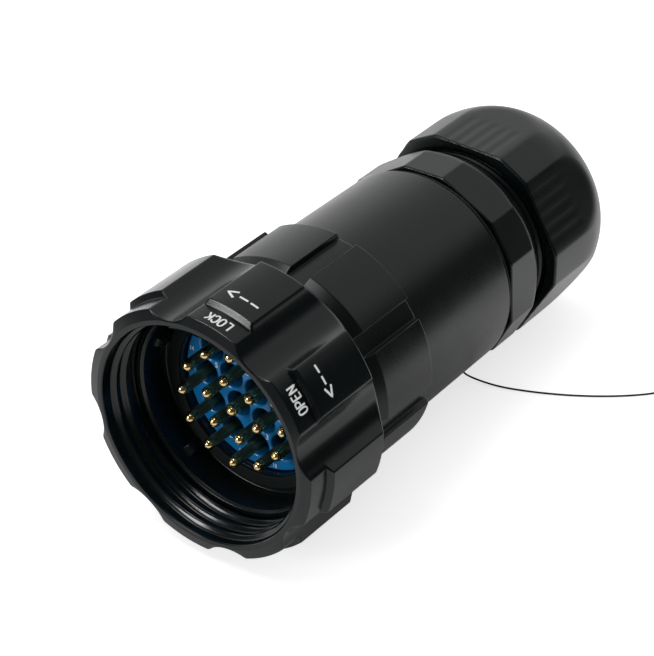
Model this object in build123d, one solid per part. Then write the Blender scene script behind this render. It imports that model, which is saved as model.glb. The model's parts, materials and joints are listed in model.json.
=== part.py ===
from build123d import *
import math
import os

# Circular connector, cable plug with pin contacts. All lengths are in millimetres.
# Each piece is turned about Z on the bench, with the mating end at z = 0 and the cable end
# above it. "Turn" values are degrees about Z, and 90 degrees is the side that faces down when
# the plug lies on a table. The last section lays the plug down: +Y then points to the cable.

# Clearances
running_gap = 0.3
fit_gap = 0.1

# Shell size: the radius of the neck that carries everything else
neck_radius = 20.2

# Front shell: sleeve, web and threaded neck
shoulder_height = 2.3
sleeve_wall = 1.5
sleeve_lip_chamfer = 0.5
web_thickness = 2.2
seat_depth = 1.8
neck_wall = 1.6
neck_overhang = 1.0
key_height = 1.2
key_widths = [4.2, 2.4, 2.4, 2.4, 2.4]
key_turns = [270, 342, 45, 128, 198]
key_set_back = 3.0
sleeve_radius = neck_radius + shoulder_height
sleeve_bore = sleeve_radius - sleeve_wall
neck_bore = neck_radius - neck_wall

# Coupling ring
ring_length = 24.6
ring_thread_depth = 9.0
ring_thread_relief = 0.3
ring_lip_thickness = 5.1
ring_rear_bevel = 3.5
rim_width = 1.1
rim_bevel = 0.5
rim_bore_chamfer = 0.2
flute_wall = 1.2
flute_depth = 3.3
flute_radius = 7.1
pad_count = 8
pad_turn = 8.8
band_depth = 1.3
band_length = 5.3
band_slope = 0.5
ring_bore_radius = sleeve_radius + running_gap
ring_thread_radius = ring_bore_radius + ring_thread_relief
rim_radius = ring_thread_radius + rim_width
flute_floor_radius = ring_thread_radius + flute_wall
ring_pad_radius = flute_floor_radius + flute_depth
ring_band_radius = ring_pad_radius - band_depth

# Friction washer under the ring's lip
washer_thickness = 0.6

# Flat seal on the web, and O-ring on the neck
face_seal_thickness = 0.8
face_seal_width = 2.6
o_ring_section = 1.3
o_ring_set_back = 1.6

# Insulator inserts
insert_shoulder = 1.6
insert_face_depth = 1.4
insert_flange_length = 6.0
insert_turn = -0.8
contact_recess_width = 1.5
contact_recess_depth = 4.6
rear_insert_length = 7.4
grommet_wafer_length = 2.0
retaining_ring_length = 2.8
retaining_ring_width = 3.0
spanner_slot_width = 2.4
spanner_slot_depth = 1.2
insert_boss_radius = neck_bore - insert_shoulder

# Contacts: one in the centre, an inner circle and an outer circle
pin_radius = 1.15
pin_reach = 8.2
inner_count = 6
inner_circle_radius = 6.2
inner_turn = 15
outer_count = 12
outer_circle_radius = 12.05
outer_turn = 0
pin_body_step = 0.2
pin_collar_step = 0.55
pin_collar_length = 2.0
crimp_barrel_step = 0.15
crimp_wall = 0.5
crimp_bore_depth = 6.0
crimp_overhang = 2.0
contact_recess_radius = pin_radius + contact_recess_width
pin_body_radius = pin_radius + pin_body_step
pin_collar_radius = pin_body_radius + pin_collar_step
crimp_barrel_radius = pin_body_radius + crimp_barrel_step

# Rear shell: grip collar with raised panels, then the tapering barrel
rear_shell_length = 47.4
collar_wall = 2.7
panel_height = 1.3
panel_foot = 0.4
panel_slope = 2.0
panel_rear = 16.9
panel_rear_slope = 0.7
panel_slot_width = 4.2
barrel_step = 0.7
barrel_taper = 0.3
barrel_wall = 4.3
barrel_edge_chamfer = 0.3
collar_radius = neck_radius + collar_wall
panel_radius = collar_radius + panel_height
barrel_front_radius = collar_radius - barrel_step
barrel_rear_radius = barrel_front_radius - barrel_taper
cavity_radius = barrel_rear_radius - barrel_wall

# Cable gland: seal and body
gland_seal_thickness = 1.6
gland_groove_depth = 0.9
gland_thread_wall = 3.5
gland_tube_wall = 4.4
gland_tube_length = 11.5
gland_collar_proud = 0.2
gland_corner_proud = 0.55
gland_collar_length = 9.6
gland_collar_turn = 57
gland_blank_proud = 1.2
gland_bevel_length = 1.9
gland_bevel_width = 1.3
gland_thread_step = 1.5
nut_thread_length = 15.0
gland_mouth_wall = 1.9
gland_seat_depth = 1.2
gland_seal_radius = barrel_rear_radius - gland_groove_depth
gland_tube_radius = barrel_rear_radius - gland_thread_wall
gland_tube_bore = gland_tube_radius - gland_tube_wall
gland_collar_flat = gland_seal_radius + gland_collar_proud
gland_collar_corner = gland_collar_flat + gland_corner_proud
gland_blank_radius = gland_collar_flat + gland_blank_proud
nut_thread_radius = gland_seal_radius - gland_thread_step
gland_bore = nut_thread_radius - gland_mouth_wall

# Cable gland: claws, grommet and slip ring
claw_wall = 2.0
claw_base_length = 9.5
claw_overhang = 6.6
claw_count = 12
claw_slot_width = 1.2
claw_taper_length = 3.0
claw_taper = 0.9
grommet_wall = 2.7
grommet_set_back = 0.6
grommet_chamfer = 0.5
slip_ring_thickness = 1.9
claw_bore = gland_bore - fit_gap - claw_wall
grommet_radius = claw_bore - 2 * fit_gap
grommet_bore = grommet_radius - grommet_wall

# Cable gland: dome nut
nut_front_gap = 4.3
nut_wall = 2.0
nut_corner_proud = 1.3
nut_turn = 30
nut_straight_length = 10.0
nut_dome_depth = 14.8
nut_dome_width = 6.1
nut_opening_clearance = 0.7
nut_rear_wall = 2.7
nut_edge_chamfer = 0.6
nut_groove_count = 5
nut_groove_pitch = 2.6
nut_groove_radius = 0.8
nut_groove_depth = 0.15
nut_groove_run_out = 1.5
nut_flat = nut_thread_radius + nut_wall
nut_corner = nut_flat + nut_corner_proud
nut_dome_core = nut_flat - nut_dome_width
nut_opening_radius = grommet_bore + nut_opening_clearance

# Tie cord: a loop in the groove in front of the gland, and a free tail that lies on the table
cord_diameter = 0.4
cord_knot_radius = 0.75
cord_knot_turn = 64
end_knot_radius = 0.7
cord_route = [
    (9.6, 71.5, -24.8),
    (9.9, 71.6, -26.6),
    (11.5, 72.0, -28.1),
    (17.7, 73.25, -28.8),
    (23.5, 75.2, -28.8),
    (29.0, 77.6, -28.8),
    (34.1, 80.3, -28.8),
    (39.1, 83.5, -28.8),
    (43.0, 86.5, -28.8),
    (46.3, 89.6, -28.8),
    (48.6, 92.8, -28.8),
]

# Places along the axis, each from the piece in front of it
sleeve_front = ring_thread_depth + running_gap
lip_front = ring_length - ring_lip_thickness
shoulder = lip_front - running_gap - washer_thickness
web_front = shoulder - web_thickness
web_rear = shoulder + seat_depth
insert_face = web_front + insert_face_depth
pin_tip = insert_face - pin_reach
insert_flange_front = web_rear + fit_gap
insert_rear = insert_flange_front + insert_flange_length
rear_insert_front = insert_rear + fit_gap
rear_insert_rear = rear_insert_front + rear_insert_length
wafer_front = rear_insert_rear + fit_gap
wafer_rear = wafer_front + grommet_wafer_length
retainer_front = wafer_rear + fit_gap
retainer_rear = retainer_front + retaining_ring_length
neck_rear = retainer_rear + neck_overhang
crimp_rear = retainer_rear + crimp_overhang
collar_front = ring_length + running_gap
barrel_rear = collar_front + rear_shell_length
gland_collar_front = barrel_rear + gland_seal_thickness
gland_collar_rear = gland_collar_front + gland_collar_length
gland_mouth = gland_collar_rear + nut_thread_length
gland_seat = gland_collar_rear - gland_seat_depth
claw_rear = gland_mouth + claw_overhang
grommet_rear = claw_rear - grommet_set_back
slip_ring_front = claw_rear + running_gap
slip_ring_rear = slip_ring_front + slip_ring_thickness
nut_front = gland_collar_rear + nut_front_gap
nut_dome_front = nut_front + nut_straight_length
nut_pocket_rear = slip_ring_rear + running_gap
nut_rear = nut_pocket_rear + nut_rear_wall


def turned(*points):
    """A solid of revolution from (radius, height) corners."""
    outline = Plane.XZ * Polyline(*points, close=True)
    return revolve(make_face(outline), Axis.Z)


def tube(outer, inner, low, high):
    return turned((inner, low), (outer, low), (outer, high), (inner, high))


def around(shape, turns):
    return [Rot(Z=turn) * shape for turn in turns]


def evenly(count, first):
    return [first + k * 360 / count for k in range(count)]


def round_bar(radius, low, high, place=(0, 0)):
    return Pos(place[0], place[1], (low + high) / 2) * Cylinder(radius, high - low)


def cut_hexagon(flat, corner, low, high, turn):
    """A hexagonal prism with its six corners cut off by a second, larger hexagon."""
    flats = RegularPolygon(flat, 6, major_radius=False)
    corners = RegularPolygon(corner, 6, major_radius=False, rotation=30)
    return Pos(0, 0, low) * Rot(Z=turn - 30) * extrude(flats & corners, high - low)


def contact_places():
    places = [(0.0, 0.0)]
    for count, radius, first in (
        (inner_count, inner_circle_radius, inner_turn),
        (outer_count, outer_circle_radius, outer_turn),
    ):
        for turn in evenly(count, first + insert_turn):
            angle = math.radians(turn)
            places.append((radius * math.cos(angle), radius * math.sin(angle)))
    return places


def coupling_ring():
    lip_bore = neck_radius + running_gap
    ring = turned(
        (ring_thread_radius + rim_bore_chamfer, 0),
        (rim_radius, 0),
        (ring_band_radius, rim_bevel),
        (ring_band_radius, band_length),
        (ring_pad_radius, band_length + band_slope),
        (ring_pad_radius, ring_length - ring_rear_bevel),
        (ring_pad_radius - ring_rear_bevel, ring_length),
        (lip_bore, ring_length),
        (lip_bore, lip_front),
        (ring_bore_radius, lip_front),
        (ring_bore_radius, ring_thread_depth),
        (ring_thread_radius, ring_thread_depth),
        (ring_thread_radius, rim_bore_chamfer),
    )
    flute = round_bar(flute_radius, -1, ring_length + 1, (flute_floor_radius + flute_radius, 0))
    return ring - around(flute, evenly(pad_count, pad_turn + 180 / pad_count))


def friction_washer():
    return tube(sleeve_radius - fit_gap, neck_radius + fit_gap, shoulder, shoulder + washer_thickness)


def front_shell():
    web_bore = insert_boss_radius + fit_gap
    groove = neck_radius - o_ring_section
    groove_front = collar_front + o_ring_set_back
    shell = turned(
        (sleeve_bore + sleeve_lip_chamfer, sleeve_front),
        (sleeve_radius, sleeve_front),
        (sleeve_radius, shoulder),
        (neck_radius, shoulder),
        (neck_radius, groove_front),
        (groove, groove_front),
        (groove, groove_front + o_ring_section),
        (neck_radius, groove_front + o_ring_section),
        (neck_radius, neck_rear),
        (neck_bore, neck_rear),
        (neck_bore, web_rear),
        (web_bore, web_rear),
        (web_bore, web_front),
        (sleeve_bore, web_front),
        (sleeve_bore, sleeve_front + sleeve_lip_chamfer),
    )
    key_front = sleeve_front + key_set_back
    wall = tube(sleeve_bore + sleeve_wall / 2, sleeve_bore - key_height, key_front, web_front)
    for width, turn in zip(key_widths, key_turns):
        blank = Box(sleeve_radius, width, web_front, align=(Align.MIN, Align.CENTER, Align.MIN))
        shell += wall & (Rot(Z=turn) * blank)
    return shell


def face_seal():
    outer = sleeve_bore - key_height - fit_gap
    return tube(outer, outer - face_seal_width, web_front - face_seal_thickness, web_front)


def neck_o_ring():
    place = collar_front + o_ring_set_back + o_ring_section / 2
    return Pos(0, 0, place) * Torus(neck_radius - o_ring_section / 2, o_ring_section / 2 - fit_gap / 4)


def front_insert():
    insert = turned(
        (0, insert_face),
        (insert_boss_radius, insert_face),
        (insert_boss_radius, insert_flange_front),
        (neck_bore - fit_gap, insert_flange_front),
        (neck_bore - fit_gap, insert_rear),
        (0, insert_rear),
    )
    for place in contact_places():
        insert -= round_bar(pin_body_radius + fit_gap, insert_face - 1, insert_rear + 1, place)
        insert -= round_bar(contact_recess_radius, insert_face - 1, insert_face + contact_recess_depth, place)
        pocket_front = insert_rear - pin_collar_length - fit_gap
        insert -= round_bar(pin_collar_radius + fit_gap, pocket_front, insert_rear + 1, place)
    return insert


def drilled_disc(radius, low, high):
    disc = round_bar(radius, low, high)
    for place in contact_places():
        disc -= round_bar(crimp_barrel_radius + fit_gap, low - 1, high + 1, place)
    return disc


def rear_insert():
    return drilled_disc(neck_bore - fit_gap, rear_insert_front, rear_insert_rear)


def insert_wafer_seal():
    return drilled_disc(neck_bore - fit_gap, wafer_front, wafer_rear)


def retaining_ring():
    outer = neck_bore - fit_gap
    ring = tube(outer, outer - retaining_ring_width, retainer_front, retainer_rear)
    slot = Pos(0, 0, retainer_rear) * Box(2 * outer + 2, spanner_slot_width, 2 * spanner_slot_depth)
    return ring - slot


def contact_pins():
    collar_rear = insert_rear
    collar_low = collar_rear - pin_collar_length
    centre = pin_tip + pin_radius
    step = insert_face + contact_recess_depth - running_gap
    tip = Plane.XZ * ThreePointArc(
        (0, pin_tip),
        (pin_radius * math.sin(math.pi / 4), centre - pin_radius * math.cos(math.pi / 4)),
        (pin_radius, centre),
    )
    rest = Plane.XZ * Polyline(
        (pin_radius, centre),
        (pin_radius, step),
        (pin_body_radius, step),
        (pin_body_radius, collar_low),
        (pin_collar_radius, collar_low),
        (pin_collar_radius, collar_rear),
        (crimp_barrel_radius, collar_rear),
        (crimp_barrel_radius, crimp_rear),
        (crimp_barrel_radius - crimp_wall, crimp_rear),
        (crimp_barrel_radius - crimp_wall, crimp_rear - crimp_bore_depth),
        (0, crimp_rear - crimp_bore_depth),
        (0, pin_tip),
    )
    pin = revolve(make_face([*tip.edges(), *rest.edges()]), Axis.Z)
    return Compound(children=[Pos(x, y, 0) * pin for x, y in contact_places()])


def rear_shell():
    bore = neck_radius + fit_gap / 2
    thread_bore = gland_tube_radius + fit_gap / 2
    counterbore_rear = neck_rear + fit_gap
    slope_front = collar_front + panel_foot
    panel_end = collar_front + panel_rear
    shell = turned(
        (bore, collar_front),
        (collar_radius, collar_front),
        (collar_radius, slope_front),
        (panel_radius, slope_front + panel_slope),
        (panel_radius, panel_end),
        (barrel_front_radius, panel_end + panel_rear_slope),
        (barrel_rear_radius, barrel_rear - barrel_edge_chamfer),
        (barrel_rear_radius - barrel_edge_chamfer, barrel_rear),
        (thread_bore, barrel_rear),
        (thread_bore, barrel_rear - gland_tube_length - fit_gap),
        (cavity_radius, barrel_rear - gland_tube_length - fit_gap),
        (cavity_radius, counterbore_rear),
        (bore, counterbore_rear),
    )
    slot_band = tube(panel_radius + 1, collar_radius, slope_front - 1, panel_end)
    slot = Box(panel_radius + 1, panel_slot_width, panel_end, align=(Align.MIN, Align.CENTER, Align.MIN))
    for turn in evenly(pad_count, pad_turn):
        shell -= slot_band & (Rot(Z=turn) * slot)
    return shell


def gland_seal():
    return tube(gland_seal_radius, gland_tube_radius + fit_gap, barrel_rear, gland_collar_front)


def gland_body():
    tube_front = barrel_rear - gland_tube_length
    body = turned(
        (gland_tube_bore, tube_front),
        (gland_tube_radius, tube_front),
        (gland_tube_radius, gland_collar_front),
        (nut_thread_radius, gland_collar_front),
        (nut_thread_radius, gland_mouth),
        (gland_bore, gland_mouth),
        (gland_bore, gland_seat),
        (gland_tube_bore, gland_seat),
    )
    collar_bore = (gland_bore + nut_thread_radius) / 2
    blank = turned(
        (collar_bore, gland_collar_front),
        (gland_blank_radius, gland_collar_front),
        (gland_blank_radius, gland_collar_rear - gland_bevel_length),
        (gland_blank_radius - gland_bevel_width, gland_collar_rear),
        (collar_bore, gland_collar_rear),
    )
    hexagon = cut_hexagon(
        gland_collar_flat, gland_collar_corner, gland_collar_front - 1, gland_collar_rear + 1, gland_collar_turn
    )
    return body + (blank & hexagon)


def clamping_claws():
    outer = gland_bore - fit_gap
    low = gland_seat + fit_gap
    claws = turned(
        (claw_bore, low),
        (outer, low),
        (outer, claw_rear - claw_taper_length),
        (outer - claw_taper, claw_rear),
        (claw_bore, claw_rear),
    )
    slot = Pos(0, 0, low + claw_base_length) * Box(
        outer + 1, claw_slot_width, claw_rear, align=(Align.MIN, Align.CENTER, Align.MIN)
    )
    return claws - around(slot, evenly(claw_count, 0))


def sealing_grommet():
    low = gland_seat + 2 * fit_gap
    return turned(
        (grommet_bore, low),
        (grommet_radius, low),
        (grommet_radius, grommet_rear),
        (grommet_bore + grommet_chamfer, grommet_rear),
        (grommet_bore, grommet_rear - grommet_chamfer),
    )


def slip_ring():
    outer = gland_bore
    return tube(outer, nut_opening_radius + running_gap, slip_ring_front, slip_ring_rear)


def nut_edge_radius():
    """How far out a flat and a corner face of the nut meet."""
    along = (nut_corner - nut_flat * math.cos(math.pi / 6)) / math.sin(math.pi / 6)
    return math.hypot(nut_flat, along)


def nut_flat_rear():
    """Where the middle of a flat runs out into the dome."""
    share = (nut_flat - nut_dome_core) / (nut_edge_radius() - nut_dome_core)
    return nut_dome_front + nut_dome_depth * math.sqrt(1 - share**2)


def gland_nut():
    dome_end = math.degrees(math.asin((nut_rear - nut_dome_front) / nut_dome_depth))
    dome_width = nut_edge_radius() - nut_dome_core
    dome = Plane.XZ * EllipticalCenterArc(
        (nut_dome_core, nut_dome_front), dome_width, nut_dome_depth, start_angle=0, arc_size=dome_end
    )
    rear_radius = nut_dome_core + dome_width * math.cos(math.radians(dome_end))
    thread_bore = nut_thread_radius + running_gap
    pocket = gland_bore + running_gap
    thread_rear = gland_mouth + running_gap
    inside = Plane.XZ * Polyline(
        (rear_radius, nut_rear),
        (nut_opening_radius + nut_edge_chamfer, nut_rear),
        (nut_opening_radius, nut_rear - nut_edge_chamfer),
        (nut_opening_radius, nut_pocket_rear),
        (pocket, nut_pocket_rear),
        (pocket, thread_rear),
        (thread_bore, thread_rear),
        (thread_bore, nut_front + nut_edge_chamfer),
        (thread_bore + nut_edge_chamfer, nut_front),
        (nut_edge_radius(), nut_front),
        (nut_edge_radius(), nut_dome_front),
    )
    blank = revolve(make_face([*dome.edges(), *inside.edges()]), Axis.Z)
    nut = blank & cut_hexagon(nut_flat, nut_corner, nut_front - 1, nut_rear + 1, nut_turn)
    grooves = []
    for k in range(nut_groove_count):
        side = (k - (nut_groove_count - 1) / 2) * nut_groove_pitch
        place = (nut_flat + nut_groove_radius - nut_groove_depth, side)
        groove = round_bar(nut_groove_radius, nut_front - 1, nut_dome_front + nut_groove_run_out, place)
        grooves += around(groove, evenly(6, nut_turn))
    return nut - grooves


def cord_loop():
    """The loop in the groove in front of the gland, with the knot that closes it below."""
    loop_radius = gland_seal_radius + cord_diameter / 2 + fit_gap / 2
    height = (barrel_rear + gland_collar_front) / 2
    knot = Rot(Z=cord_knot_turn) * Pos(loop_radius + cord_knot_radius * 3 / 4, 0, height) * Sphere(cord_knot_radius)
    return Pos(0, 0, height) * Torus(loop_radius, cord_diameter / 2) + knot


def cord_path():
    points = [Vector(*point) for point in cord_route]
    radii = []
    for before, here, after in zip(points, points[1:], points[2:]):
        turn = (here - before).get_angle(after - here)
        shorter = min((here - before).length, (after - here).length)
        radii.append(0.45 * shorter / math.tan(math.radians(turn) / 2))
    print("cord radii", [round(radius, 1) for radius in radii])
    return FilletPolyline(*points, radius=radii)


def tie_cord():
    path = cord_path()
    cord = sweep(Plane(path @ 0, z_dir=path % 0) * Circle(cord_diameter / 2), path=path)
    expected = path.length * math.pi * cord_diameter**2 / 4
    print("cord length", round(path.length, 1), "volume ratio", round(cord.volume / expected, 4))
    return cord


def cord_end_knot():
    return Pos(*cord_route[-1]) * Pos(0, 0, end_knot_radius - cord_diameter / 2) * Sphere(end_knot_radius)


def lying():
    """Turns the axis to +Y and dips it until a ring pad and a flat of the nut touch one table."""
    reach = nut_flat_rear() - (ring_length - ring_rear_bevel)
    dip = math.degrees(math.atan2(ring_pad_radius - nut_flat, reach))
    print("dip of the axis", round(dip, 4), "degrees")
    return Rot(X=-(90 + dip))


on_axis = [
    coupling_ring,
    friction_washer,
    front_shell,
    face_seal,
    neck_o_ring,
    front_insert,
    rear_insert,
    insert_wafer_seal,
    retaining_ring,
    contact_pins,
    rear_shell,
    gland_seal,
    gland_body,
    clamping_claws,
    sealing_grommet,
    slip_ring,
    gland_nut,
    cord_loop,
]
on_table = [tie_cord, cord_end_knot]

os.makedirs("parts", exist_ok=True)
rest = lying()
for piece in on_axis:
    export_step(rest * piece(), f"parts/{piece.__name__}.step")
for piece in on_table:
    export_step(piece(), f"parts/{piece.__name__}.step")
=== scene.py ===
import json
import math

import bmesh
import bpy
import numpy as np
from mathutils import Matrix, Vector


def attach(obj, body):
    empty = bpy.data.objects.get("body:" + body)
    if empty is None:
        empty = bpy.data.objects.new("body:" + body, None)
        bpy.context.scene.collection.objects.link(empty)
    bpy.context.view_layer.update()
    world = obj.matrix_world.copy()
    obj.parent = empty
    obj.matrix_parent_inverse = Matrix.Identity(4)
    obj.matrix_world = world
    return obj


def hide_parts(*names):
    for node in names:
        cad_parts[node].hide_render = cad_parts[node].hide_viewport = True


# A black cable plug with nineteen gilt pins on a blue insert, lying on a table. Every piece is
# shaped in millimetres round the plug's own axis: s is the distance behind the ring's rim, r the
# distance from the axis, and the turn is in degrees, with 90 facing the table.
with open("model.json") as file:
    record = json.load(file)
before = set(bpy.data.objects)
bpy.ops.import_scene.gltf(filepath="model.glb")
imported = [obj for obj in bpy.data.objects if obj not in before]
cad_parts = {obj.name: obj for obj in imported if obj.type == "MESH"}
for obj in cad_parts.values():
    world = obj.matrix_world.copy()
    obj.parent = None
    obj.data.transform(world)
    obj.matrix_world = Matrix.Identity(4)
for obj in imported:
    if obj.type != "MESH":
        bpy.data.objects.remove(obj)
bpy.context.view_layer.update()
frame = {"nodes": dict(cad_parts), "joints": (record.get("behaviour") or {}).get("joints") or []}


# Front shell
# The nylon core of the plug: a sleeve with five keys round the pins, a web that carries the
# insert, and a long neck that screws into the rear shell. Moulded in one piece.

across = np.array((1.0, 0.0, 0.0))
along = np.array(frame["joints"][0]["axis"])
below = np.array((0.0, along[2], -along[1]))


def at(s, r, turn):
    """Places in metres, for distances behind the rim and from the axis in mm and turns in degrees."""
    s, r, turn = np.broadcast_arrays(s, r, np.radians(turn))
    x, y = r * np.cos(turn), r * np.sin(turn)
    return (x[..., None] * across + y[..., None] * below + s[..., None] * along) / 1000


def outline(*corners, arc=4):
    """Radii and places of a closed outline through (r, s, fillet) corners, with small round edges.

    A fourth number at a corner is the longest step in mm on the way to the next one.
    """
    spots = [np.array(corner[:2], float) for corner in corners]
    arcs = []
    for k, here in enumerate(spots):
        back, on = spots[k - 1] - here, spots[(k + 1) % len(spots)] - here
        long_back, long_on = np.linalg.norm(back), np.linalg.norm(on)
        back, on = back / long_back, on / long_on
        half = math.acos(max(-1, min(1, float(back @ on)))) / 2
        reach = min(corners[k][2] / math.tan(half), 0.45 * long_back, 0.45 * long_on)
        radius = reach * math.tan(half)
        if radius < 0.01:
            arcs.append([here])
            continue
        centre = here + (back + on) / np.linalg.norm(back + on) * radius / math.sin(half)
        first, sweep = here + back * reach - centre, math.pi - 2 * half
        last = here + on * reach - centre
        bend = [first * math.sin(sweep * (1 - w)) + last * math.sin(sweep * w)
                for w in np.linspace(0, 1, arc + 1)]
        arcs.append([centre + place / math.sin(sweep) for place in bend])
    points = []
    for k, bend in enumerate(arcs):
        end = arcs[(k + 1) % len(arcs)][0]
        step = corners[k][3] if len(corners[k]) > 3 else 1.6
        run = np.linalg.norm(end - bend[-1])
        points += bend
        if run > 0.3 and (len(bend) > 1 or run > step):
            between = np.linspace(0, 1, max(2, math.ceil(run / step)) + 1)[1:-1]
            shares = (0.09 / run, *between, 1 - 0.09 / run)
            points += [bend[-1] + (end - bend[-1]) * share for share in shares]
    points = np.array(points)
    return points[:, :1], points[:, 1:]


def painted(mesh, name, values):
    """The mesh, with a value from 0 to 1 kept at each vertex for its material."""
    mesh.attributes.new(name, "FLOAT", "POINT").data.foreach_set("value", np.asarray(values, np.float32))
    return mesh


def skin(name, places):
    """A closed mesh over rows of places that run round the axis, with its rubbed edges marked."""
    rows, columns = places.shape[:2]
    first = np.arange(rows * columns).reshape(rows, columns)
    beside, above = np.roll(first, -1, 1), np.roll(first, -1, 0)
    faces = np.stack([first, beside, np.roll(above, -1, 1), above], -1).reshape(-1, 4)
    mesh = bpy.data.meshes.new(name)
    mesh.from_pydata(places.reshape(-1, 3).tolist(), [], faces.tolist())
    mesh.polygons.foreach_set("use_smooth", np.full(len(faces), True))
    mesh.update()
    facing = np.empty(rows * columns * 3, np.float32)
    mesh.vertices.foreach_get("normal", facing)
    facing = facing.reshape(rows, columns, 3)
    bend = np.zeros((rows, columns))
    for side, step in ((0, 1), (0, -1), (1, 1), (1, -1)):
        gap = np.roll(places, step, side) - places
        turn = ((np.roll(facing, step, side) - facing) * gap).sum(-1)
        bend = np.maximum(bend, turn / np.maximum((gap ** 2).sum(-1), 1e-9))
    rubbed = np.clip((bend - 400) / 2500, 0, 1)
    rubbed = (rubbed + np.roll(rubbed, 1, 0) + np.roll(rubbed, -1, 0)) / 3
    return painted(mesh, "rubbed", rubbed.ravel())


def piece(name, mesh, body, slot, material, *nodes):
    """A new object of that mesh, which rides on its body and stands for these CAD nodes."""
    made = bpy.data.objects.new(name, mesh)
    bpy.context.scene.collection.objects.link(made)
    made.data.materials.append(material)
    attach(made, body)
    if nodes:
        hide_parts(*nodes)
    return made


def eased(x, low, high):
    """0 below low and 1 above high, with a smooth rise between them."""
    t = np.clip((x - low) / (high - low), 0, 1)
    return t * t * (3 - 2 * t)


class Wire:
    """A socket in a material's nodes. Arithmetic on it adds Math nodes, and node() adds any other."""

    def __init__(self, tree, socket=None):
        self.tree, self.socket = tree, socket

    def node(self, kind, settings=None, values=None, output=0):
        made = self.tree.nodes.new("ShaderNode" + kind)
        for name, value in (settings or {}).items():
            setattr(made, name, value)
        for name, value in (values or {}).items():
            if isinstance(value, Wire):
                self.tree.links.new(value.socket, made.inputs[name])
            else:
                made.inputs[name].default_value = value
        return Wire(self.tree, made.outputs[output] if made.outputs else None)

    def math(self, operation, first, second):
        return self.node("Math", {"operation": operation}, {0: first, 1: second})

    def __add__(self, other):
        return self.math("ADD", self, other)

    def __sub__(self, other):
        return self.math("SUBTRACT", self, other)

    def __rsub__(self, other):
        return self.math("SUBTRACT", other, self)

    def __mul__(self, other):
        return self.math("MULTIPLY", self, other)

    __radd__ = __add__
    __rmul__ = __mul__

    def mix(self, low, high):
        """A colour from low to high as this value goes from 0 to 1."""
        return self.node("Mix", {"data_type": "RGBA"}, {0: self, 6: low, 7: high}, 2)

    def noise(self, place, size, detail=2):
        """Soft noise whose patches are about that many mm wide."""
        return self.node("TexNoise", None, {"Vector": place, "Scale": 1000 / size, "Detail": detail})


def finish(name):
    """A new material, and a wire to string its nodes on."""
    material = bpy.data.materials.new(name)
    material.use_nodes = True
    material.node_tree.nodes.clear()
    return material, Wire(material.node_tree)


def moulded(name, colour, roughness, grain=0.012, lift=1.5):
    """Moulded black nylon: a fine grain, faint flow clouds, and edges that handling has rubbed."""
    material, wire = finish(name)
    place = wire.node("TexCoord", output=3)
    cloud = wire.noise(place, 6.0, 3)
    speck = wire.noise(place, 0.22, 2)
    rubbed = wire.node("Attribute", {"attribute_name": "rubbed"}, None, 2)
    dark, light = [(*[c * k for c in colour], 1) for k in (0.8, 1.25)]
    worn = (*[c * lift for c in colour], 1)
    tint = rubbed.mix(cloud.mix(dark, light), worn)
    rough = (cloud - 0.5) * 0.10 + (speck - 0.5) * 0.16 + roughness - rubbed * 0.08
    bump = wire.node("Bump", None, {"Strength": 0.35, "Distance": grain / 1000, "Height": speck})
    shader = wire.node("BsdfPrincipled", None,
                       {"Base Color": tint, "Roughness": rough, "IOR": 1.5, "Normal": bump})
    wire.node("OutputMaterial", None, {"Surface": shader})
    return material


black_shell = moulded("black_shell_nylon", (0.0015, 0.0040, 0.0042), 0.30)
turns = np.arange(480) * 0.75
r, s = outline(
    (21.5, 9.3, 0.15), (22.5, 9.3, 0.2), (22.5, 18.6, 0.1), (20.2, 18.6, 0.1), (20.2, 26.5, 0.1),
    (18.9, 26.5, 0.1),
    (18.9, 27.8, 0.1), (20.2, 27.8, 0.1, 4), (20.2, 40.0, 0.2), (18.6, 40.0, 0.2, 4), (18.6, 20.4, 0.05),
    (17.1, 20.4, 0.05), (17.1, 16.4, 0.15), (21.0, 16.4, 0.2, 0.5), (21.0, 9.8, 0.15), arc=3,
)
key = np.zeros_like(turns)
for turn, width in ((270, 4.2), (342, 2.4), (45, 2.4), (128, 2.4), (198, 2.4)):
    off = np.abs((turns - turn + 180) % 360 - 180) * math.pi / 180 * 20.4
    key = np.maximum(key, 1 - eased(off, width / 2 - 0.15, width / 2 + 0.15))
bore = (np.abs(r - 21.0) < 0.02) & (s > 12) & (s < 16.6)
shell = skin("front_shell_moulding", at(s, r - 1.2 * key * bore * eased(s, 12.1, 12.6), turns))
piece("front_shell_moulding", shell, "housing", "black_shell", black_shell, "front_shell")


# Face seal, neck ring, friction washer
# Rubber: a flat seal on the web that the socket's nose presses, and a ring in the neck's groove.
# The friction washer of slippery white plastic lets the coupling ring turn against its shoulder.

def rubber(name, colour):
    """Matt rubber with a faint bloom."""
    material, wire = finish(name)
    place = wire.node("TexCoord", output=3)
    bloom = wire.noise(place, 3.0, 3)
    pore = wire.noise(place, 0.15, 2)
    dark, light = [(*[c * k for c in colour], 1) for k in (0.8, 1.5)]
    bump = wire.node("Bump", None, {"Strength": 0.3, "Distance": 0.00001, "Height": pore})
    shader = wire.node("BsdfPrincipled", None, {
        "Base Color": bloom.mix(dark, light), "Roughness": (bloom - 0.5) * 0.15 + 0.7, "Normal": bump,
        "Specular IOR Level": 0.25})
    wire.node("OutputMaterial", None, {"Surface": shader})
    return material


def turned(name, body, slot, material, *corners, columns=240):
    """A turned piece that stands for the CAD node of that name."""
    r, s = outline(*corners)
    mesh = skin(name + "_turned", at(s, r, np.arange(columns) * 360 / columns))
    return piece(name + "_turned", mesh, body, slot, material, name)


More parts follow.
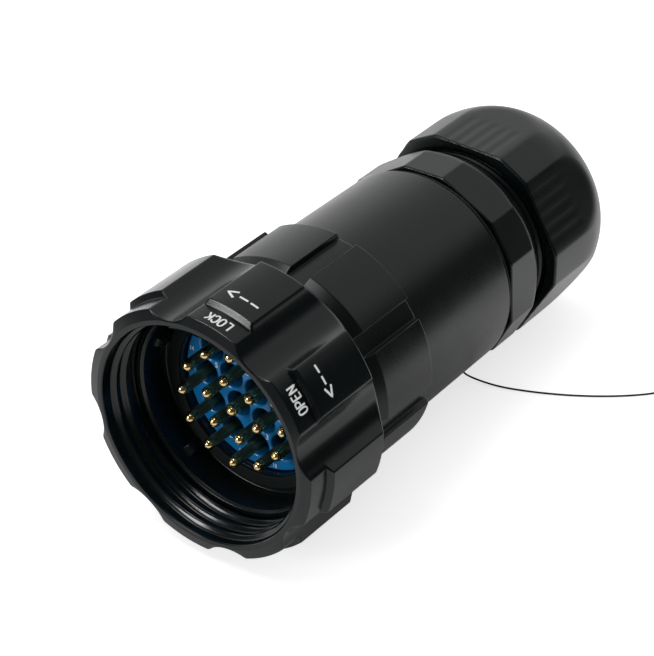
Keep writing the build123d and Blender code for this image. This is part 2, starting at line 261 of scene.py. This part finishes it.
black_rubber = rubber("black_rubber_sheet", (0.003, 0.0055, 0.0058))
turned("face_seal", "housing", "black_rubber", black_rubber,
       (17.15, 15.6, 0.2), (19.7, 15.6, 0.2), (19.7, 16.38, 0.05), (17.15, 16.38, 0.05))
frame["nodes"]["neck_o_ring"].material_slots[0].material = black_rubber
material, wire = finish("slip_washer_plastic")
cloud = wire.noise(wire.node("TexCoord", output=3), 2.0, 3)
shader = wire.node("BsdfPrincipled", None, {
    "Base Color": cloud.mix((0.72, 0.72, 0.69, 1), (0.82, 0.82, 0.8, 1)), "Roughness": cloud * 0.15 + 0.3})
wire.node("OutputMaterial", None, {"Surface": shader})
frame["nodes"]["friction_washer"].material_slots[0].material = material


# Inserts
# The blue insulator is a glossy moulding with a round recess, sunk 4.55 mm, at each of the nineteen contacts,
# and printed contact numbers on its lands. Its recess walls and the base behind the lands are painted
# near-black as painted shade. A second disc, a rubber wafer and a screwed ring hold it.

contacts = [(0.0, 0.0)]
contacts += [(6.2, 14.2 + 60 * k) for k in range(6)] + [(12.05, 30 * k - 0.8) for k in range(12)]
recess, land_front, land_depth, land_round = 2.65, 17.8, 4.55, 0.42


def flat_curve(name, depth, rounding):
    """An empty flat curve that is filled, made that thick and given round edges."""
    curve = bpy.data.curves.new(name, "CURVE")
    curve.dimensions, curve.fill_mode = "2D", "BOTH"
    curve.extrude, curve.bevel_depth, curve.bevel_resolution = depth / 2 - rounding, rounding, 3
    curve.offset = -rounding
    return curve


def add_circle(curve, radius, x=0.0, y=0.0):
    spline = curve.splines.new("BEZIER")
    spline.bezier_points.add(3)
    spline.resolution_u, spline.use_cyclic_u = 16, True
    pull = radius * 0.5523
    for point, (u, v) in zip(spline.bezier_points, ((1, 0), (0, 1), (-1, 0), (0, -1))):
        point.co = (x + u * radius, y + v * radius, 0)
        point.handle_left = (x + u * radius + v * pull, y + v * radius - u * pull, 0)
        point.handle_right = (x + u * radius - v * pull, y + v * radius + u * pull, 0)


def to_mesh(curve):
    """The curve's own mesh, still in millimetres and flat on its back."""
    holder = bpy.data.objects.new(curve.name, curve)
    bpy.context.scene.collection.objects.link(holder)
    bpy.context.view_layer.update()
    mesh = bpy.data.meshes.new_from_object(holder.evaluated_get(bpy.context.evaluated_depsgraph_get()))
    bpy.data.objects.remove(holder)
    return mesh


def set_places(mesh, place):
    """Moves each vertex of a mesh to the place that a function gives for all of its coordinates."""
    flat = np.empty(len(mesh.vertices) * 3, np.float32)
    mesh.vertices.foreach_get("co", flat)
    mesh.vertices.foreach_set("co", place(flat.reshape(-1, 3).astype(float)).astype(np.float32).ravel())
    mesh.update()
    return mesh


def behind_rim(mesh):
    """How many mm behind the ring's rim each vertex of a mesh lies."""
    return np.array([1000 * Vector(along).dot(point.co) for point in mesh.vertices])


def on_face(s):
    """Puts flat points, x across and y down, on a plane that far behind the rim."""
    return lambda p: (p[:, :1] * across + p[:, 1:2] * below + (p[:, 2:] + s) * along) / 1000


material, wire = finish("blue_insulator")
place = wire.node("TexCoord", output=3)
cloud, speck = wire.noise(place, 4.0, 3), wire.noise(place, 0.3, 2)
recess_painted_shade = wire.node("Attribute", {"attribute_name": "recess_painted_shade"}, None, 2)
# Painted shade: where the recess mask is 1, the blue turns near-black, on the recess walls and the base.
tint = recess_painted_shade.mix(cloud.mix((0.005, 0.14, 0.38, 1), (0.010, 0.20, 0.50, 1)), (0.002, 0.012, 0.022, 1))
bump = wire.node("Bump", None, {"Strength": 0.12, "Distance": 0.00002, "Height": speck})
shader = wire.node("BsdfPrincipled", None, {
    "Base Color": tint, "Roughness": (cloud - 0.5) * 0.06 + 0.14, "IOR": 1.55, "Normal": bump})
wire.node("OutputMaterial", None, {"Surface": shader})
blue = material

lands = flat_curve("insert_lands", land_depth, land_round)
add_circle(lands, 17.0)
for radius, turn in contacts:
    add_circle(lands, recess, radius * math.cos(math.radians(turn)), radius * math.sin(math.radians(turn)))
lands = set_places(to_mesh(lands), on_face(land_front + land_depth / 2))
# Painted shade: the recess walls darken from 18.3 to 19.6 mm behind the rim.
painted(lands, "recess_painted_shade", eased(behind_rim(lands), 18.3, 19.6))
lands.polygons.foreach_set("use_smooth", np.full(len(lands.polygons), True))
lands.set_sharp_from_angle(angle=math.radians(35))
piece("insert_lands", lands, "housing", "blue_insert", blue, "front_insert")
r, s = outline(
    (0.02, 22.35, 0), (16.9, 22.35, 0.1), (16.9, 20.5, 0.05), (18.5, 20.5, 0.2), (18.5, 26.5, 0.2),
    (0.02, 26.5, 0),
)
base = skin("insert_base", at(s, r, np.arange(120) * 3))
# Painted shade: the whole base behind the lands gets the near-black recess colour.
painted(base, "recess_painted_shade", np.ones(len(base.vertices)))
piece("insert_base", base, "housing", "blue_insert", blue)

material, wire = finish("insert_print")
patch = wire.noise(wire.node("TexCoord", output=3), 0.2, 3)
shader = wire.node("BsdfPrincipled", None, {
    "Base Color": patch.mix((0.66, 0.7, 0.72, 1), (0.9, 0.92, 0.93, 1)), "Roughness": patch * 0.2 + 0.35})
wire.node("OutputMaterial", None, {"Surface": shader})
for k, (radius, turn) in enumerate([(8.6, 284.2)] + [(9.75, 14.2 + 60 * n) for n in range(6)]
                                   + [(16.0, 14.2 + 30 * n) for n in range(12)]):
    number = bpy.data.curves.new(f"contact_number_{k + 1}", "FONT")
    number.body, number.size = str(k + 1), 1.75 if k < 7 else 1.35
    number.align_x, number.align_y = "CENTER", "CENTER"
    number.extrude, number.offset, number.resolution_u = 0.01, 0.03, 3
    u, v = radius * math.cos(math.radians(turn)), radius * math.sin(math.radians(turn))
    mesh = set_places(to_mesh(number), lambda p: p * (0.8, -1, 1) + (u, v, 0))
    piece(f"contact_number_{k + 1}", set_places(mesh, on_face(17.785)), "housing", "blue_insert", material)

frame["nodes"]["rear_insert"].material_slots[0].material = blue
grey_rubber = rubber("grey_rubber_wafer", (0.16, 0.16, 0.16))
frame["nodes"]["insert_wafer_seal"].material_slots[0].material = grey_rubber
frame["nodes"]["retaining_ring"].material_slots[0].material = black_shell


# Contacts
# Nineteen turned brass pins, gilt and bright, with domed tips and a crimp barrel for the wire. Behind the
# tips the gilt is painted a dull dark brown, a painted shade inside the mouth. They are pushed into the
# inserts from behind, where a collar stops them.

material, wire = finish("gilt_brass")
place = wire.node("TexCoord", output=3)
film, turning = wire.noise(place, 0.9, 3), wire.noise(place, 0.06, 1)
shank_painted_shade = wire.node("Attribute", {"attribute_name": "shank_painted_shade"}, None, 2)
# Painted shade: behind the domed tips the gilt fades to dark brown, and the stems are rougher.
tint = shank_painted_shade.mix(film.mix((0.98, 0.72, 0.30, 1), (1.0, 0.82, 0.44, 1)), (0.44, 0.28, 0.12, 1))
bump = wire.node("Bump", None, {"Strength": 0.04, "Distance": 0.000004, "Height": turning})
shader = wire.node("BsdfPrincipled", None, {
    "Base Color": tint, "Metallic": 1.0, "Roughness": film * 0.06 + 0.09 + shank_painted_shade * 0.19, "Normal": bump})
wire.node("OutputMaterial", None, {"Surface": shader})
pin = 1.15
dome = [(pin * math.sin(a), 10.75 - pin * math.cos(a), 0) for a in np.linspace(0.02, math.pi / 2, 12)]
r, s = outline(
    *dome, (pin, 22.1, 0.05), (1.35, 22.15, 0.05), (1.35, 24.5, 0.05), (1.9, 24.5, 0.1), (1.9, 26.5, 0.1),
    (1.5, 26.5, 0.05, 8), (1.5, 41.0, 0.1), (1.0, 41.0, 0.1, 4), (1.0, 35.0, 0.1), (0.02, 35.0, 0), arc=2,
)
single = at(s, r, np.arange(32) * 11.25)
pins = bmesh.new()
for k, (radius, turn) in enumerate(contacts):
    pins.from_mesh(skin(f"contact_{k + 1}", single + at(0, radius, turn) - at(0, 0, 0)))
mesh = bpy.data.meshes.new("contact_pins_turned")
pins.to_mesh(mesh)
pins.free()
# Painted shade mask: 0 at the tips, 1 from 12 mm behind the rim.
painted(mesh, "shank_painted_shade", eased(behind_rim(mesh), 10.6, 12.0))
piece("contact_pins_turned", mesh, "housing", "gilt", material, "contact_pins")


# Coupling ring
# Moulded nylon, with eight pads and eight flutes for the hand and a coarse rounded thread in its
# mouth. LOCK and OPEN, each with an arrow, are printed in white on two of the pads.

black_ring = moulded("black_ring_nylon", (0.0018, 0.0042, 0.0046), 0.21, 0.01, 1.2)
sector = np.concatenate([
    np.arange(0, 8.6, 0.6), np.arange(8.6, 13.4, 0.32), np.arange(13.4, 22.5, 1.3)])
sector = np.unique(np.round(np.concatenate([-sector, sector]), 4))
first_flute = 31.3
turns = np.concatenate([first_flute + 45 * k + sector for k in range(8)])


def softer(a, b, width):
    """The lower of two heights, with the crease between them rounded over that width."""
    near = np.clip(width - np.abs(a - b), 0, None) / width
    return np.minimum(a, b) - near * near * width / 4


flute_centre, flute_round = 31.4, 7.1
off = (turns - first_flute + 22.5) % 45 - 22.5
sideways = flute_centre * np.sin(np.radians(off))
hollow = np.sqrt(np.clip(flute_round ** 2 - sideways ** 2, 0, None))
flute = flute_centre * np.cos(np.radians(off)) - hollow
flute = flute + 3 * np.clip(np.abs(sideways) - flute_round, 0, None)
band, pad, thread_root = 26.3, 27.6, 23.1
r, s = outline(
    (23.3, 0.0, 0.1, 0.3), (24.2, 0.0, 0.1, 0.3), (band, 0.5, 0.15), (band, 5.3, 0.15, 0.3), (pad, 5.8, 0.2),
    (pad, 21.1, 0.6, 0.3), (24.1, 24.6, 0.2, 1.2), (20.5, 24.6, 0.2), (20.5, 19.5, 0.1), (22.8, 19.5, 0.1, 4),
    (22.8, 9.0, 0.05), (thread_root, 9.0, 0.05, 0.25), (thread_root, 0.2, 0.1), arc=3,
)
thread_pitch, thread_start, thread_turns = 2.8, 250, 2.75
round_axis = (turns - thread_start) / 360
lead = (s - 0.95) / thread_pitch - round_axis
passed = round_axis + np.round(lead)
ridge = np.clip(0.5 + 0.5 * np.cos(2 * np.pi * lead), 0, 1) ** 3
ridge = ridge * eased(passed, 0, 0.012) * (1 - eased(passed, thread_turns - 0.12, thread_turns))
ridge = ridge * (np.abs(r - thread_root) < 0.02) * eased(s, 0.4, 1.0) * (1 - eased(s, 8.3, 8.9))
ring = skin("coupling_ring_moulding", at(s, softer(r, flute, 0.7) - 1.15 * ridge, turns))
piece("coupling_ring_moulding", ring, "coupling_ring", "black_ring", black_ring, "coupling_ring")

material, wire = finish("white_pad_print")
place = wire.node("TexCoord", output=3)
patch, hole = wire.noise(place, 0.5, 3), wire.noise(place, 0.08, 2)
shader = wire.node("BsdfPrincipled", None, {
    "Base Color": patch.mix((0.78, 0.8, 0.8, 1), (0.93, 0.94, 0.94, 1)), "Roughness": hole * 0.2 + 0.4,
    "Normal": wire.node("Bump", None, {"Strength": 0.3, "Distance": 0.00001, "Height": hole})})
wire.node("OutputMaterial", None, {"Surface": shader})
letters = {
    "L": [[(0, 1), (0, 0), (0.85, 0)]],
    "O": [[(0.28, 0), (0.06, 0.16), (0, 0.35), (0, 0.65), (0.06, 0.84), (0.28, 1), (0.62, 1), (0.84, 0.84),
           (0.9, 0.65), (0.9, 0.35), (0.84, 0.16), (0.62, 0), (0.28, 0)]],
    "C": [[(0.88, 0.76), (0.8, 0.92), (0.6, 1), (0.3, 1), (0.08, 0.86), (0, 0.65), (0, 0.35), (0.08, 0.14),
           (0.3, 0), (0.6, 0), (0.8, 0.08), (0.88, 0.24)]],
    "K": [[(0, 0), (0, 1)], [(0.88, 1), (0.04, 0.42)], [(0.3, 0.6), (0.92, 0)]],
    "P": [[(0, 0), (0, 1), (0.55, 1), (0.8, 0.92), (0.88, 0.76), (0.8, 0.58), (0.55, 0.48), (0, 0.48)]],
    "E": [[(0.85, 0), (0, 0), (0, 1), (0.85, 1)], [(0, 0.52), (0.74, 0.52)]],
    "N": [[(0, 0), (0, 1), (0.88, 0), (0.88, 1)]],
}


def printed(name, strokes, stroke, radius):
    """White ink on the ring: strokes of (turn, s) points, that wide, raised by a few hundredths."""
    curve = bpy.data.curves.new(name, "CURVE")
    curve.dimensions, curve.bevel_depth, curve.bevel_resolution = "3D", stroke / 2, 3
    curve.use_fill_caps = True
    for points in strokes:
        spline = curve.splines.new("POLY")
        flat = []
        for (a, b), (c, d) in zip(points, points[1:]):
            n = max(1, math.ceil(math.hypot((a - c) * 0.46, b - d) / 0.3))
            flat += [(a + (c - a) * k / n, b + (d - b) * k / n) for k in range(n)]
        flat.append(points[-1])
        spline.points.add(len(flat) - 1)
        for point, (turn, s) in zip(spline.points, flat):
            point.co = (math.radians(turn) * radius, s, 0, 1)
    mesh = set_places(to_mesh(curve), lambda p: at(
        p[:, 1], radius + 0.012 + p[:, 2] * 0.06 / stroke, np.degrees(p[:, 0] / radius)))
    mesh.polygons.foreach_set("use_smooth", np.full(len(mesh.polygons), True))
    piece(name, mesh, "coupling_ring", "black_ring", material)


letter_wide, letter_gap = 0.9, 0.38
for word, first, last, top, foot in (("LOCK", 284.2, 272.9, 1.75, 3.9), ("OPEN", 329.4, 317.8, 2.25, 4.55)):
    scale = (first - last) / (4 * letter_wide + 3 * letter_gap)
    strokes = []
    for k, letter in enumerate(word):
        start = k * (letter_wide + letter_gap)
        strokes += [[(first - (start + u) * scale, foot + (top - foot) * v) for u, v in line]
                    for line in letters[letter]]
    printed("word_" + word.lower(), strokes, 0.38, band)
printed("arrow_lock", [
    [(275.3, 8.6), (271.5, 9.6), (275.3, 10.6)], [(277, 9.65), (281, 9.65)], [(282.2, 9.65), (285.9, 9.65)],
], 0.5, pad)
printed("arrow_open", [
    [(325.8, 9.1), (330, 10.05), (325.8, 11)], [(324.75, 10), (321.2, 10)], [(319.7, 10), (316.2, 10)],
], 0.5, pad)


# Rear shell
# Moulded nylon: a grip collar with eight raised panels, lined up with the ring's pads, and a long
# smooth barrel that tapers a little. It screws onto the front shell's neck.

black_barrel = moulded("black_barrel_nylon", (0.0018, 0.0042, 0.0044), 0.30, 0.008, 1.2)
sector = np.concatenate([np.arange(0, 4.4, 0.7), np.arange(4.4, 6.0, 0.16), np.arange(6.0, 22.5, 1.2)])
sector = np.unique(np.round(np.concatenate([-sector, sector]), 4))
first_panel = 8.8
turns = np.concatenate([first_panel + 45 * k + sector for k in range(8)])
off = np.abs((turns - first_panel + 22.5) % 45 - 22.5)
r, s = outline(
    (20.25, 24.9, 0.1), (22.9, 24.9, 0.15), (22.9, 25.3, 0.3, 0.4), (24.2, 27.3, 0.6), (24.2, 41.8, 0.25),
    (22.2, 42.5, 0.2, 3), (21.9, 72.05, 0.25), (21.6, 72.3, 0.1), (18.45, 72.3, 0.1, 3), (18.45, 60.7, 0.1),
    (17.6, 60.7, 0.1, 4), (17.6, 40.1, 0.1), (20.25, 40.1, 0.1, 4), arc=3,
)
wall = eased(np.radians(off) * 23.5, 1.93, 2.3)
raised = np.where((s > 22.5) & (s < 42.6), np.clip(r - 22.9, 0, None), 0)
shell = skin("rear_shell_moulding", at(s, r - raised * (1 - wall), turns))
piece("rear_shell_moulding", shell, "housing", "black_shell", black_barrel, "rear_shell")


# Cable gland
# A matt nylon body with a cut-cornered hexagonal collar, screwed into the barrel over a rubber
# seal. Slotted claws press a rubber sleeve onto the cable as the dome nut is screwed up.

black_gland = moulded("black_gland_nylon", (0.0018, 0.0042, 0.0044), 0.32, 0.012, 1.2)
frame["nodes"]["gland_seal"].material_slots[0].material = black_rubber


def cut_hexagon(turns, flat, corner, first):
    """How far out a hexagon with cut corners reaches, with its edges a little rounded."""
    to_flat = np.radians((turns - first + 30) % 60 - 30)
    to_corner = np.radians((turns - first) % 60 - 30)
    return softer(flat / np.cos(to_flat), corner / np.cos(to_corner), 0.12)


turns = np.arange(540) / 1.5
collar_flat, collar_corner, nut_thread = 21.2, 21.75, 19.5
r, s = outline(
    (14.0, 60.8, 0.3), (18.4, 60.8, 0.3, 4), (18.4, 73.9, 0.05), (collar_flat, 73.9, 0.35, 0.5),
    (collar_flat, 83.5, 0.15), (nut_thread, 83.5, 0.1, 0.25), (nut_thread, 98.5, 0.3), (17.6, 98.5, 0.2, 3),
    (17.6, 82.3, 0.1), (14.0, 82.3, 0.1, 4), arc=3,
)
collar = cut_hexagon(turns, collar_flat, collar_corner, 57) - collar_flat
collar = collar * eased(r, 20.5, 20.95) * (s > 73.8)
bevel = np.where(s < 83.6, 22.4 - (s - 81.6) * 1.3 / 1.9, 40)
thread = 0.5 - 0.5 * np.cos(2 * np.pi * (s / 2.0 - turns / 360))
thread = thread ** 1.5 * (np.abs(r - nut_thread) < 0.01) * eased(s, 86.4, 87.2) * (1 - eased(s, 97.6, 98.2))
body = skin("gland_body_moulding", at(s, softer(r + collar, bevel, 0.3) - 0.75 * thread, turns))
piece("gland_body_moulding", body, "housing", "black_gland", black_gland, "gland_body")
frame["nodes"]["clamping_claws"].material_slots[0].material = black_gland
turned("sealing_grommet", "housing", "black_rubber", black_rubber, (12.6, 82.5, 0.3), (15.3, 82.5, 0.3),
       (15.3, 104.5, 0.3), (13.1, 104.5, 0.2), (12.6, 104.0, 0.2), columns=120)
turned("slip_ring", "nut_carrier", "black_gland", black_gland,
       (13.6, 105.4, 0.15), (17.6, 105.4, 0.2), (17.6, 107.3, 0.2), (13.6, 107.3, 0.25), columns=120)


# Dome nut
# The large nut of the gland: flats with five shallow grooves each, cut corners, and a dome that
# closes in on the cable. Moulded in the same matt nylon.

turns = np.arange(720) / 2
nut_flat, nut_corner, nut_lip, nut_blank = 21.5, 22.8, 20.4, 23.07
dome = [(15.4 + 7.67 * math.cos(a), 97.8 + 14.8 * math.sin(a), 0.0)
        for a in np.linspace(0, math.asin(0.8446), 22)]
r, s = outline(
    (nut_lip, 87.8, 0.2, 0.5), (nut_blank, 87.8, 0.5, 2.5), *dome[:-1], (19.5, 110.3, 0.5),
    (13.9, 110.3, 0.3), (13.3, 109.7, 0.2), (13.3, 107.6, 0.1), (17.9, 107.6, 0.1, 3), (17.9, 98.8, 0.1),
    (19.8, 98.8, 0.1, 1.0), (19.8, 88.4, 0.1),
)
from_middle = nut_flat * np.tan(np.radians(turns % 60 - 30))
groove = np.zeros_like(turns)
for k in range(5):
    groove = np.maximum(groove, 1 - eased(np.abs(from_middle - (k - 2) * 2.6), 0.2, 1.1))
sides = cut_hexagon(turns, nut_flat, nut_corner, 30) - 0.05 * groove * (1 - eased(s, 97.0, 100.5))
face = nut_lip + (r - nut_lip) * (softer(nut_blank, sides, 0.5) - nut_lip) / (nut_blank - nut_lip)
reach = np.where((s < 88.8) & (r > nut_lip), face, softer(r, sides, 0.5))
nut = skin("gland_nut_moulding", at(s, reach, turns))
piece("gland_nut_moulding", nut, "gland_nut", "black_gland", black_gland, "gland_nut")


# Tie cord
# A thin black cord, looped and knotted in the groove in front of the gland's collar. Its free end
# runs out over the table and is stopped with a small knot.

material, wire = finish("thin_black_cord")
place = wire.node("TexCoord", output=3)
lay, fuzz = wire.node("TexWave", {"wave_type": "BANDS", "bands_direction": "DIAGONAL"},
                      {"Vector": place, "Scale": 900.0, "Distortion": 1.0}, 1), wire.noise(place, 0.1, 2)
shader = wire.node("BsdfPrincipled", None, {
    "Base Color": lay.mix((0.006, 0.006, 0.006, 1), (0.016, 0.016, 0.016, 1)), "Roughness": fuzz * 0.3 + 0.45,
    "Normal": wire.node("Bump", None, {"Strength": 0.5, "Distance": 0.00003, "Height": lay})})
wire.node("OutputMaterial", None, {"Surface": shader})
cord_black, cord_round = material, 0.0002
route = [
    (0.0096, 0.0715, -0.0248), (0.0099, 0.0716, -0.0266), (0.0115, 0.0720, -0.0281),
    (0.0177, 0.07325, -0.0288), (0.0235, 0.0752, -0.0288), (0.0290, 0.0776, -0.0288),
    (0.0341, 0.0803, -0.0288), (0.0391, 0.0835, -0.0288), (0.0430, 0.0865, -0.0288),
    (0.0463, 0.0896, -0.0288), (0.0486, 0.0928, -0.0288),
]


def knot(name, centre, size, *nodes):
    """A small overhand knot, drawn tight, that stands for these CAD nodes."""
    t = np.linspace(0, 2 * np.pi, 73)[:-1]
    loop = np.stack([np.sin(t) + 2 * np.sin(2 * t), np.cos(t) - 2 * np.cos(2 * t), -np.sin(3 * t)], -1) / 3
    curve = bpy.data.curves.new(name, "CURVE")
    curve.dimensions, curve.bevel_depth, curve.bevel_resolution = "3D", cord_round, 3
    spline = curve.splines.new("POLY")
    spline.points.add(len(t) - 1)
    spline.use_cyclic_u = True
    for point, p in zip(spline.points, loop * (size - cord_round)):
        point.co = (*(np.array(centre) + p), 1)
    mesh = to_mesh(curve)
    mesh.polygons.foreach_set("use_smooth", np.full(len(mesh.polygons), True))
    return piece(name, mesh, "housing", "cord", cord_black, *nodes)


angle = np.arange(24) * 15
loop_r, loop_s = 21.25 + 0.2 * np.cos(np.radians(angle)), 73.1 + 0.2 * np.sin(np.radians(angle))
loop = skin("cord_loop_wound", at(loop_s[::-1, None], loop_r[::-1, None], np.arange(360)))
piece("cord_loop_wound", loop, "housing", "cord", cord_black, "cord_loop")
knot("cord_loop_knot", at(73.1, 21.81, 64), 0.00068)
end_knot = knot("cord_end_knot_tied", (0.0486, 0.0928, -0.0285), 0.00052, "cord_end_knot")
curve = bpy.data.curves.new("tie_cord_laid", "CURVE")
curve.dimensions, curve.bevel_depth, curve.bevel_resolution, curve.resolution_u = "3D", cord_round, 4, 12
curve.use_fill_caps = True
spline = curve.splines.new("NURBS")
spline.points.add(len(route) - 1)
for point, place in zip(spline.points, route):
    point.co = (*place, 1)
spline.order_u = 3
spline.use_endpoint_u = True
tail = piece("tie_cord_laid", curve, "housing", "cord", cord_black, "tie_cord")


# Table, lights and camera
# A sheet of white paper that sweeps up behind and to the left, in a room that is dark at the right
# and in front. One soft box hangs overhead and one stands low at the front left.

table = bmesh.new()
bmesh.ops.create_grid(table, x_segments=8, y_segments=8, size=3.0)
mesh = bpy.data.meshes.new("table_top")
table.to_mesh(mesh)
table.free()
floor = bpy.data.objects.new("table_top", mesh)
bpy.context.scene.collection.objects.link(floor)
floor.location.z = -0.02904
material, wire = finish("white_table")
place = wire.node("TexCoord", output=3)
paper = wire.noise(place, 0.6, 3)


def from_to(value, low, high):
    """A value that rises smoothly from 0 at low to 1 at high."""
    return value.node("MapRange", {"interpolation_type": "SMOOTHSTEP"}, {0: value, 1: low, 2: high})


x, y = [wire.node("SeparateXYZ", None, {"Vector": place}, k) for k in (0, 1)]
sheet = from_to(y, -0.12, -0.05) * (1 - from_to(x, 0.09, 0.18))
mirrored = wire.node("LightPath", output=3)
plain = wire.math("MAXIMUM", wire.node("LightPath"), wire.node("LightPath", output=6))
# Painted reflection: seen in reflections only, the table shines 0.5 brighter over the sheet, left of and
# behind the plug.
far = wire.math("MAXIMUM", 1 - from_to(x, -0.10, -0.02), from_to(y, 0.06, 0.11))
# To the camera the table shines an even 0.66 white; the glossy-ray part is a painted reflection.
white_and_painted_reflection_glow = (mirrored * sheet * far * from_to(y, -0.06, 0.0) * 0.5 + plain * 0.66).mix((0, 0, 0, 1), (1, 1, 1, 1))
white_paper = paper.mix((0.82, 0.82, 0.82, 1), (0.86, 0.86, 0.86, 1))
# Painted reflection: beyond the sheet the table is near-black in reflections only, and stays white to the
# camera and to bounced light.
paper_and_painted_dark_reflection = (mirrored * (1 - sheet)).mix(white_paper, (0.08, 0.08, 0.08, 1))
shader = wire.node("BsdfPrincipled", None, {
    "Base Color": paper_and_painted_dark_reflection, "Roughness": 0.9,
    "Emission Color": white_and_painted_reflection_glow, "Emission Strength": 1.0})
wire.node("OutputMaterial", None, {"Surface": shader})
mesh.materials.append(material)

world = bpy.data.worlds.new("studio")
bpy.context.scene.world = world
world.use_nodes = True
world.node_tree.nodes.clear()
wire = Wire(world.node_tree)
direction = wire.node("TexCoord")
x, y, z = [wire.node("SeparateXYZ", None, {"Vector": direction}, k) for k in range(3)]
wall = from_to(z - x * 0.62, -0.1, 0.35) * from_to(y, -0.5, -0.25) * from_to(y - x * 1.2, -0.3, 0.1)
wall = wall * (0.92 - from_to(z, 0.3, 0.65) * 0.5) + 0.05
scattered = wire.node("LightPath", output=2)
wall = wall * (1 - scattered) + scattered * (from_to(y, -0.6, 0.2) * 0.55 + 0.2)
seen = wire.math("MAXIMUM", wire.node("LightPath"), wire.node("LightPath", output=6))
room = wire.node("Background", None, {"Color": (1, 1, 1, 1), "Strength": wire.math("MAXIMUM", seen, wall)})
wire.node("OutputWorld", None, {"Surface": room})


def soft_box(name, place, aim, wide, high, watts):
    lamp = bpy.data.lights.new(name, "AREA")
    lamp.shape, lamp.size, lamp.size_y, lamp.energy = "RECTANGLE", wide, high, watts
    made = bpy.data.objects.new(name, lamp)
    bpy.context.scene.collection.objects.link(made)
    made.location = place
    made.rotation_mode = "QUATERNION"
    made.rotation_quaternion = (Vector(aim) - Vector(place)).to_track_quat("-Z", "Y")


soft_box("soft_box_above", (-0.13, -0.12, 0.58), (0, 0.03, 0), 0.42, 0.14, 1.0)
soft_box("soft_box_front_left", (-0.245, -0.525, 0.185), (0, 0.0, 0), 0.17, 0.21, 1.5)

camera = bpy.data.objects.new("camera", bpy.data.cameras.new("camera"))
bpy.context.scene.collection.objects.link(camera)
bpy.context.scene.camera = camera
camera.data.lens, camera.data.sensor_width, camera.data.sensor_fit = 138.13, 36.0, "AUTO"
camera.data.clip_start, camera.data.clip_end = 0.01, 20.0
right, up, back = (0.80068, 0.59757, -0.04261), (-0.33520, 0.50582, 0.79485), (0.49653, -0.62214, 0.60530)
turned_to = Matrix((right, up, back)).transposed().to_4x4()
camera.matrix_world = Matrix.Translation((0.24404, -0.26528, 0.29721)) @ turned_to
bpy.context.scene.view_settings.view_transform = "Standard"
